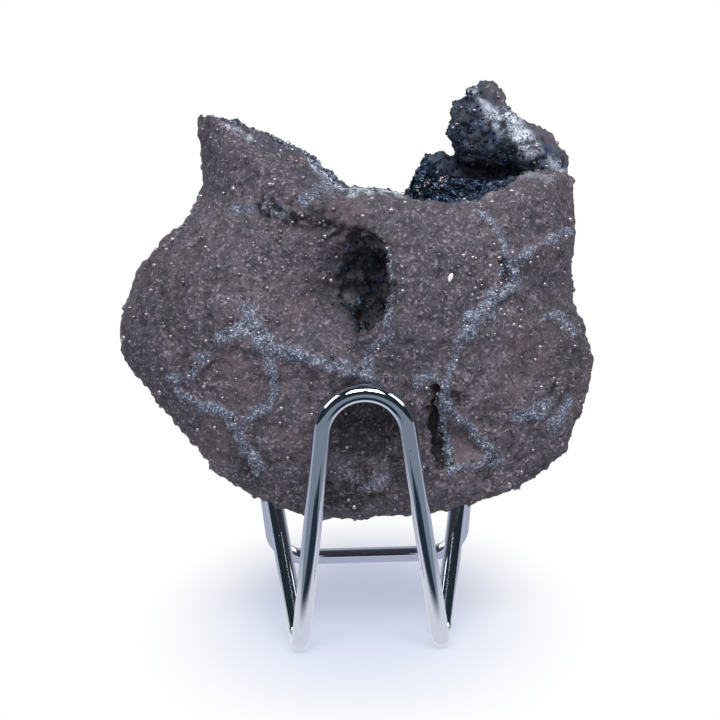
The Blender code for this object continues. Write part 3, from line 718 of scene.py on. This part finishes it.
def run_tree(name, mesh, tree, smooth, **values):
    """Runs a tree on a mesh and keeps what it makes as a plain piece."""
    carrier = add_piece("carrier", mesh)
    modifier = carrier.modifiers.new(name, "NODES")
    modifier.node_group = tree
    for label, value in values.items():
        identifier = tree.interface.items_tree[label.replace("_", " ")].identifier
        modifier[identifier] = value
    made = plain_mesh(carrier)
    bpy.data.objects.remove(carrier)
    made.polygons.foreach_set("use_smooth", np.full(len(made.polygons), smooth))
    made.name = name
    print(name, len(made.polygons), "faces")
    return add_piece(name, made)


# %% [markdown]
# ## Beads on the skin
# The whole skin is strewn with tiny glassy beads, 0.3 to 0.9 mm across, in uneven drifts and most
# of all along the seams. Each is a small mirror ball that shows the lights, and that is what the
# eye reads as sparkle.

# %% Scatter the beads
bead_finish, start, shader = new_finish("glassy_beads")
tone = pattern(start, 3.0)
plug(shader, Base_Color=tone.between(0.4, 0.6).blend(colour(112, 104, 110), colour(178, 170, 178)),
     Roughness=0.32, Metallic=0.85)
drifts = 0.35 + 0.65 * step(cloud(points, 9.0, shift=40.0), -0.25, 0.25)
bead_share = np.clip(1 - hollow - pit, 0, 1) * drifts + 2.5 * step(seam, 0.4, 0.9)
store(skin, "bead_share", bead_share * (1 - 0.9 * under_wire) / 3.5)
beads = run_tree(
    "glassy_beads", skin, scatter_tree("scatter_beads", "bead", "bead_share"), True,
    Per_square_metre=4.2e5, Smallest=0.14 * MM, Largest=0.46 * MM, Sink=-0.02 * MM, Tilt=0.0,
    Seed=5, Finish=bead_finish)

# %% [markdown]
# ## One pale grain
# A single longer grain, paler than all the others, lies on the front to the right of the pit. A
# stretched ball is enough for it.

# %% Set the pale grain
PALE_GRAIN_PIXEL = np.array((450, 277))
nearest = int(np.argmin(np.linalg.norm(pixels - PALE_GRAIN_PIXEL, axis=1) + 999 * (front < 0.5)))
seat = Vector(read_points(skin)[nearest])
shape = bmesh.new()
bmesh.ops.create_icosphere(shape, subdivisions=3, radius=1.0, matrix=(
    Matrix.Translation(seat) @ Matrix.Rotation(math.radians(25), 4, "Y")
    @ Matrix.Diagonal((0.4 * MM, 0.3 * MM, 0.8 * MM, 1.0))))
grain_mesh = bpy.data.meshes.new("pale_grain")
shape.to_mesh(grain_mesh)
shape.free()
grain_finish, start, shader = new_finish("pale_grain")
plug(shader, Base_Color=colour(206, 198, 196), Roughness=0.4)
grain_mesh.materials.append(grain_finish)
grain_mesh.polygons.foreach_set("use_smooth", np.ones(len(grain_mesh.polygons), bool))
pale_grain = add_piece("pale_grain", grain_mesh)
print("pale grain at", [round(c / MM, 1) for c in seat], "mm")

# %% [markdown]
# ## Crystals along the seams
# Manganite grows as short striated prisms with a bright steel-blue lustre. Thousands of tiny
# points, lying at every angle, break up the light along each seam and along the fresh break.

# %% Scatter the seam crystals
crystal_finish, start, shader = new_finish("manganite_crystals")
tone = pattern(start, 0.8)
plug(shader, Base_Color=tone.between(0.45, 0.7).blend(colour(60, 65, 79), colour(166, 175, 192)),
     Roughness=0.36, Metallic=0.5)
store(skin, "crystal_share", np.maximum(step(seam, 0.25, 0.9), 0.5 * step(broken, 0.35, 0.8)))
seam_crystals = run_tree(
    "manganite_crystals", skin, scatter_tree("scatter_crystals", "grain", "crystal_share"), False,
    Per_square_metre=9e5, Smallest=0.10 * MM, Largest=0.28 * MM, Sink=-0.05 * MM, Tilt=1.1,
    Seed=11, Finish=crystal_finish)

# %% [markdown]
# ## The black druse
# The hollow is lined with a crust of black crystals. They are almost black and shiny, with a few
# paler ones, and the top of the crust on the left is a paler blue-grey. That place is
# found by the piece's own coordinates.

# %% Mix the finish of the druse
druse_finish, start, shader = new_finish("black_druse")
tone = pattern(start, 1.1)
place = start.node("ShaderNodeTexCoord", output="Object")
east, high = (start.node("ShaderNodeSeparateXYZ", None, {0: place}, output=n) for n in ("X", "Z"))
dark = tone.between(0.45, 0.75).blend(colour(14, 27, 43), colour(64, 87, 120))
paler_top_left = (1 - east.between(-0.004, 0.003)) * high.between(0.070, 0.074)
pale = tone.between(0.4, 0.65).blend(colour(62, 66, 78), colour(126, 134, 152))
plug(shader, Base_Color=paler_top_left.blend(dark, pale), Roughness=0.35, Metallic=0.5)
print("druse finish from", len(druse_finish.node_tree.nodes), "nodes")

# %% [markdown]
# ## The surface of the crust
# The crust's solid shows only big flat pyramids. Here it is divided, softened and given lumps of
# about a millimetre. The side towards the wall swells until it meets the wall, because the two
# solids stand a little apart.

# %% Divide the crust and let it swell
rough_crust = add_piece("rough_crust", merged_copy("cavity_crystal_crust"))
finer = rough_crust.modifiers.new("finer", "SUBSURF")
finer.subdivision_type, finer.levels = "SIMPLE", 2
settle = rough_crust.modifiers.new("settle", "SMOOTH")
settle.factor, settle.iterations = 0.5, 2
crust = plain_mesh(rough_crust)
bpy.data.objects.remove(rough_crust)

crust_points, crust_normals = read_points(crust), read_normals(crust)
swell = 0.5 * cloud(crust_points, 1.6, shift=3.0) + 0.35 * cloud(crust_points, 0.8, shift=6.0) - 0.1
from_middle = (crust_points / MM - EASEL_OFFSET)[:, :2] - HOLLOW_MIDDLE
from_middle /= np.linalg.norm(from_middle, axis=1)[:, None]
swell += 0.75 * step(np.einsum("ij,ij->i", crust_normals[:, :2], from_middle), 0.1, 0.6)
write_points(crust, crust_points + crust_normals * swell[:, None] * MM)
crust_points, crust_normals = read_points(crust), read_normals(crust)
print("crust", len(crust.vertices), "points, swell up to", swell.max().round(2), "mm")

# %% [markdown]
# ## Points in the hollow
# Small crystals are strewn where the crust faces the open middle, over the stone's own wall around
# it and thinly in the pit.

# %% Scatter the druse
OPEN_MIDDLE = (5.0, 26.0, 90.0)
towards = OPEN_MIDDLE - (crust_points / MM - EASEL_OFFSET)
showing = np.einsum("ij,ij->i", crust_normals, towards) / np.linalg.norm(towards, axis=1)
store(crust, "druse_share", step(showing, -0.1, 0.3))
druse = run_tree(
    "druse_grains", crust, scatter_tree("scatter_druse", "grain", "druse_share"), False,
    Per_square_metre=2.6e6, Smallest=0.18 * MM, Largest=0.5 * MM, Sink=0.0, Tilt=0.7,
    Seed=17, Finish=druse_finish)
store(skin, "lining_share", np.max([
    step(hollow, 0.4, 0.8) * (1 - slate), 0.35 * step(pit, 0.4, 0.9),
    0.5 * horn_dark * (broken < 0.3)], axis=0))
lining = run_tree(
    "lining_grains", skin, scatter_tree("scatter_lining", "grain", "lining_share"), False,
    Per_square_metre=2.2e6, Smallest=0.15 * MM, Largest=0.4 * MM, Sink=0.0, Tilt=0.8,
    Seed=23, Finish=druse_finish)

# %% [markdown]
# ## Beads on the ledge
# A few glassy beads glint along the front edge of the crust, where the light reaches it. They are
# sown only close to a handful of places in the picture. The crust then becomes a piece itself.

# %% Scatter the beads on the ledge
LEDGE_BEADS = (
    (420, 190), (428, 183), (440, 180), (446, 186), (452, 163), (458, 170), (455, 160), (461, 150))
crust_pixels = pixels_of(crust_points)
on_ledge = np.min([np.linalg.norm(crust_pixels - spot, axis=1) for spot in LEDGE_BEADS], axis=0)
turned_front = step(-crust_normals[:, 1], -0.2, 0.3)
store(crust, "ledge_share", (1 - step(on_ledge, 2.5, 5.0)) * turned_front)
ledge_beads = run_tree(
    "ledge_beads", crust, scatter_tree("scatter_ledge", "bead", "ledge_share"), True,
    Per_square_metre=3.0e6, Smallest=0.2 * MM, Largest=0.42 * MM, Sink=0.3 * MM, Tilt=0.0,
    Seed=29, Finish=bead_finish)
crust.materials.clear()
crust.materials.append(druse_finish)
crust.polygons.foreach_set("use_smooth", np.ones(len(crust.polygons), bool))
druse_wall = add_piece("druse_wall", crust)

# %% [markdown]
# ## The wire easel
# The stand is one loop of 3 mm wire. Its path is laid out as corners, each rounded to a radius, as
# a bending jig would do it. Half the loop is written down, and its mirror image closes it.

# %% Lay out the wire's path
ARCH_TOP_Z, ARCH_RADIUS, ARCH_TOP_Y, ARCH_STEPS = 43.5, 6.7, -3.0, 24
FOOT_X, FOOT_Y, FOOT_LENGTH, FOOT_SPREAD, HAIRPIN_RADIUS = 11.45, 0.35, 4.5, 0.6, 2.3
ARM_TOP, ARM_RADIUS = (20.2, 27.0, 46.0), 4.0
REAR_X, REAR_RADIUS = 17.8, 6.5


def rounded(corners, step_degrees=4.0):
    """A closed path through corners given with their bend radii."""
    path = []
    for index, (corner, radius) in enumerate(corners):
        corner = Vector(corner)
        before = (Vector(corners[index - 1][0]) - corner).normalized()
        after = (Vector(corners[(index + 1) % len(corners)][0]) - corner).normalized()
        half = before.angle(after) / 2
        if not radius:
            path.append(corner)
            continue
        centre = corner + (before + after).normalized() * (radius / math.sin(half))
        arm = corner + before * (radius / math.tan(half)) - centre
        outward = (corner - centre).normalized()
        side = (outward - arm.normalized() * outward.dot(arm.normalized())).normalized()
        turn = math.pi - 2 * half
        steps = math.ceil(turn / math.radians(step_degrees))
        for count in range(steps + 1):
            angle = turn * count / steps
            path.append(centre + arm * math.cos(angle) + side * radius * math.sin(angle))
    return path


arch_z = ARCH_TOP_Z - ARCH_RADIUS
splay = math.atan((FOOT_X - ARCH_RADIUS) / arch_z)
half = []
for count in range(ARCH_STEPS + 1):
    angle = math.radians(90) - (math.radians(90) - splay) * count / ARCH_STEPS
    height = arch_z + ARCH_RADIUS * math.sin(angle)
    lean_y = FOOT_Y + (ARCH_TOP_Y - FOOT_Y) * height / ARCH_TOP_Z
    half.append(((ARCH_RADIUS * math.cos(angle), lean_y, height), 0.0))
half += [
    ((FOOT_X, FOOT_Y, WIRE_RADIUS), HAIRPIN_RADIUS),
    ((FOOT_X + FOOT_SPREAD, FOOT_Y + FOOT_LENGTH, WIRE_RADIUS), HAIRPIN_RADIUS),
    (ARM_TOP, ARM_RADIUS),
    ((REAR_X, REAR_BAR_Y, WIRE_RADIUS), REAR_RADIUS),
]
mirrored = [((-x, y, z), radius) for (x, y, z), radius in half[1:]]
wire_path = rounded(half + [((0.0, REAR_BAR_Y, WIRE_RADIUS), 0.0)] + mirrored[::-1])
print("wire path", len(wire_path), "points")

# %% [markdown]
# ## A tree that sweeps the wire
# Geometry Nodes turn the path into a curve and sweep a circle of 28 sides along it, far rounder
# than the twelve flats of the solid.

# %% Build the tree that sweeps a circle along the path
guide = bpy.data.meshes.new("wire_guide")
guide.from_pydata(
    [tuple(place) for place in to_model([tuple(p) for p in wire_path])],
    [(n, (n + 1) % len(wire_path)) for n in range(len(wire_path))], [])
wire_tree = bpy.data.node_groups.new("sweep_wire", "GeometryNodeTree")
for label, kind in (
    ("Geometry", "NodeSocketGeometry"), ("Radius", "NodeSocketFloat"),
    ("Sides", "NodeSocketInt"), ("Finish", "NodeSocketMaterial"),
):
    wire_tree.interface.new_socket(label, in_out="INPUT", socket_type=kind)
wire_tree.interface.new_socket("Geometry", in_out="OUTPUT", socket_type="NodeSocketGeometry")
start = Socket(wire_tree)
given = {s.name: Socket(wire_tree, s) for s in wire_tree.nodes.new("NodeGroupInput").outputs}
line = start.node("GeometryNodeMeshToCurve", None, {"Mesh": given["Geometry"]})
ring = start.node("GeometryNodeCurvePrimitiveCircle", None, {
    "Resolution": given["Sides"], "Radius": given["Radius"]})
tube = start.node("GeometryNodeCurveToMesh", None, {"Curve": line, "Profile Curve": ring})
tube = start.node("GeometryNodeRealizeInstances", None, {"Geometry": tube})
tube = start.node("GeometryNodeSetMaterial", None, {"Geometry": tube, "Material": given["Finish"]})
wire_tree.links.new(tube.output, wire_tree.nodes.new("NodeGroupOutput").inputs[0])
print("sweeping tree has", len(wire_tree.nodes), "nodes")

# %% [markdown]
# ## The chrome
# Chrome plate is a cool, slightly blue mirror. Handling leaves the faintest haze and a few dull
# specks, so the roughness drifts a little.

# %% Mix the chrome and make the wire
chrome, start, shader = new_finish("chromed_wire")
haze = pattern(start, 6.0, detail=3.0)
specks = pattern(start, 0.5, detail=1.0, shift=5.0).between(0.74, 0.8)
plug(shader, Base_Color=(specks * 0.7).blend((0.62, 0.665, 0.76, 1), colour(70, 76, 84)),
     Metallic=1.0, Roughness=haze * 0.08 + specks * 0.4 + 0.02)
wire = run_tree("polished_wire", guide, wire_tree, True,
                Radius=WIRE_RADIUS * MM, Sides=28, Finish=chrome)
check = bmesh.new()
check.from_mesh(wire.data)
print("wire volume", round(check.calc_volume(signed=True) / MM**3), "mm3")
check.free()

# %% [markdown]
# ## The floor
# The specimen stands in a white tent. The floor glows with a painted shadow, a soft lilac pool under
# the stone that fades to plain white, and its glow throws a little painted light back up. Chrome is
# treated apart: a mirror shows whatever stands around it, so mirror rays find a painted reflection
# instead, a table with a dark sheet in front.

# %% Make the floor
floor_mesh = bpy.data.meshes.new("floor")
FLOOR_REACH, FLOOR_DROP = 3.0, 0.2 * MM
floor_mesh.from_pydata(
    [(east * FLOOR_REACH, north * FLOOR_REACH, -FLOOR_DROP)
     for east, north in ((-1, -1), (1, -1), (1, 1), (-1, 1))], [], [(0, 1, 2, 3)])
floor = add_piece("floor", floor_mesh)
pale, start, shader = new_finish("pale_floor")
ray = pale.node_tree.nodes.new("ShaderNodeLightPath")
seen, mirrored_ray, bounced = (Socket(pale.node_tree, ray.outputs[n]) for n in (
    "Is Camera Ray", "Is Glossy Ray", "Is Diffuse Ray"))
place = start.node("ShaderNodeTexCoord", output="Object")
east, north = (start.node("ShaderNodeSeparateXYZ", None, {0: place}, output=n) for n in ("X", "Y"))
side_on, ahead_of = start.maths("ABSOLUTE", east), -1 * north
stretched = start.node("ShaderNodeVectorMath", {"operation": "MULTIPLY"}, {0: place, 1: (1.5, 1.0, 1.0)})
away = start.node("ShaderNodeVectorMath", {"operation": "LENGTH"}, {0: stretched}, output="Value")
# the eye finds a painted shadow, a soft lilac pool under the stone that fades to white all round
far_off = away.between(0.012, 0.062)
painted_shadow_pool = far_off.blend((0.40, 0.44, 0.56, 1), (1, 1, 1, 1))
# the mirror rays find a painted reflection: a dark sheet in front, a blue-grey table edge and pale lilac
# elsewhere
sheet = (1 - side_on.between(0.020, 0.028)) * (1 - ahead_of.between(0.078, 0.092))
front_tone = sheet.blend((0.26, 0.30, 0.34, 1), (0.02, 0.035, 0.055, 1))
elsewhere = away.between(0.05, 0.12).blend((0.93, 0.91, 0.94, 1), (0.5, 0.53, 0.58, 1))
elsewhere = ahead_of.between(-0.016, -0.002).blend((0.55, 0.56, 0.66, 1), elsewhere)
painted_reflection_tone = ahead_of.between(0.030, 0.043).blend(elsewhere, front_tone)
# painted light: the floor glows to throw light back up, less of it under the stone
painted_fill_glow = far_off.blend((0.12, 0.12, 0.14, 1), (0.5, 0.5, 0.54, 1))
glow = bounced.blend(mirrored_ray.blend(painted_shadow_pool, painted_reflection_tone), painted_fill_glow)
unlit = start.maths("MAXIMUM", mirrored_ray, far_off * seen)
plug(shader, Base_Color=unlit.blend((0.25, 0.255, 0.28, 1), (0, 0, 0, 1)),
     Roughness=0.6, Specular_IOR_Level=0.0, Emission_Color=glow, Emission_Strength=1.0)
floor_mesh.materials.append(pale)
print("floor", 2 * FLOOR_REACH, "m wide,", FLOOR_DROP / MM, "mm below the wire")

# %% [markdown]
# ## The tent
# The stone gets soft light from all round, most of it from the front. Mirror rays find a room of
# their own again: dim, paler behind, with one bright box on each side.

# %% Light the tent
world = bpy.data.worlds.new("tent")
bpy.context.scene.world = world
world.use_nodes = True
tree = world.node_tree
start = Socket(tree)
way = start.node("ShaderNodeTexCoord", output="Generated")
east, north, high = (
    start.node("ShaderNodeSeparateXYZ", None, {0: way}, output=n) for n in ("X", "Y", "Z"))
ray = tree.nodes.new("ShaderNodeLightPath")
seen, mirrored_ray = (Socket(tree, ray.outputs[n]) for n in ("Is Camera Ray", "Is Glossy Ray"))
side_on = start.maths("ABSOLUTE", east)
room = north.between(0.0, 0.7).blend((0.02, 0.032, 0.04, 1), (0.5, 0.53, 0.58, 1))
boxes = side_on.between(0.56, 0.62) * (1 - side_on.between(0.88, 0.92)) * high.between(0.36, 0.42)
boxes = boxes * (1 - high.between(0.74, 0.78)) * north.between(-0.34, -0.28)
room = boxes.blend(room, (2.6, 2.6, 2.6, 1))
soft = high.between(-0.3, 0.95).blend((0.17, 0.175, 0.2, 1), (0.5, 0.5, 0.52, 1))
soft = side_on.between(0.5, 1.0).blend(soft, (0.14, 0.14, 0.16, 1))
soft = (-1 * north).between(0.4, 1.0).blend(soft, (1.5, 1.47, 1.52, 1))
light = mirrored_ray.blend(soft, room)
light = seen.blend(light, (1, 1, 1, 1))
tree.nodes["Background"].inputs["Strength"].default_value = 1.0
tree.links.new(light.output, tree.nodes["Background"].inputs["Color"])
print("tent from", len(tree.nodes), "nodes")

# %% [markdown]
# ## Two lamps
# A soft square lamp on each side in front of the stone models the grains with small shadows and
# puts the glints on the beads.

# %% Add the lamps
LAMP_WIDTH, LAMP_AIM = 0.2, Vector((0.0, 0.0, 0.05))


def add_lamp(name, place, watts):
    """A soft square white lamp that shines at the stone."""
    data = bpy.data.lights.new(name, "AREA")
    data.size, data.energy = LAMP_WIDTH, watts
    lamp = bpy.data.objects.new(name, data)
    way = LAMP_AIM - Vector(place)
    turn = way.to_track_quat("-Z", "Y").to_matrix().to_4x4()
    lamp.matrix_world = Matrix.Translation(place) @ turn
    bpy.context.scene.collection.objects.link(lamp)


add_lamp("left_box", (-0.09, -0.31, 0.43), 1.25)
add_lamp("right_box", (0.12, -0.29, 0.43), 1.35)
bpy.context.scene.view_settings.view_transform = "Standard"
print("lamps", [lamp.name for lamp in bpy.data.lights])

# %% [markdown]
# ## The pieces on the body
# Every piece rides on the one body of the model. The skin and the wire stand in for their solids.

# %% Ride and replace
for piece, slot in (
    (stone, "pyrolusite_skin"), (beads, "pyrolusite_skin"), (pale_grain, "pyrolusite_skin"),
    (seam_crystals, "pyrolusite_skin"), (druse, "dark_druse"), (lining, "dark_druse"),
    (ledge_beads, "dark_druse"), (druse_wall, "dark_druse"), (wire, "chromed_wire"),
):
    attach(piece, "root")
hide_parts("pyrolusite_mass")
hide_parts("wire_easel")
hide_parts("cavity_crystal_crust")
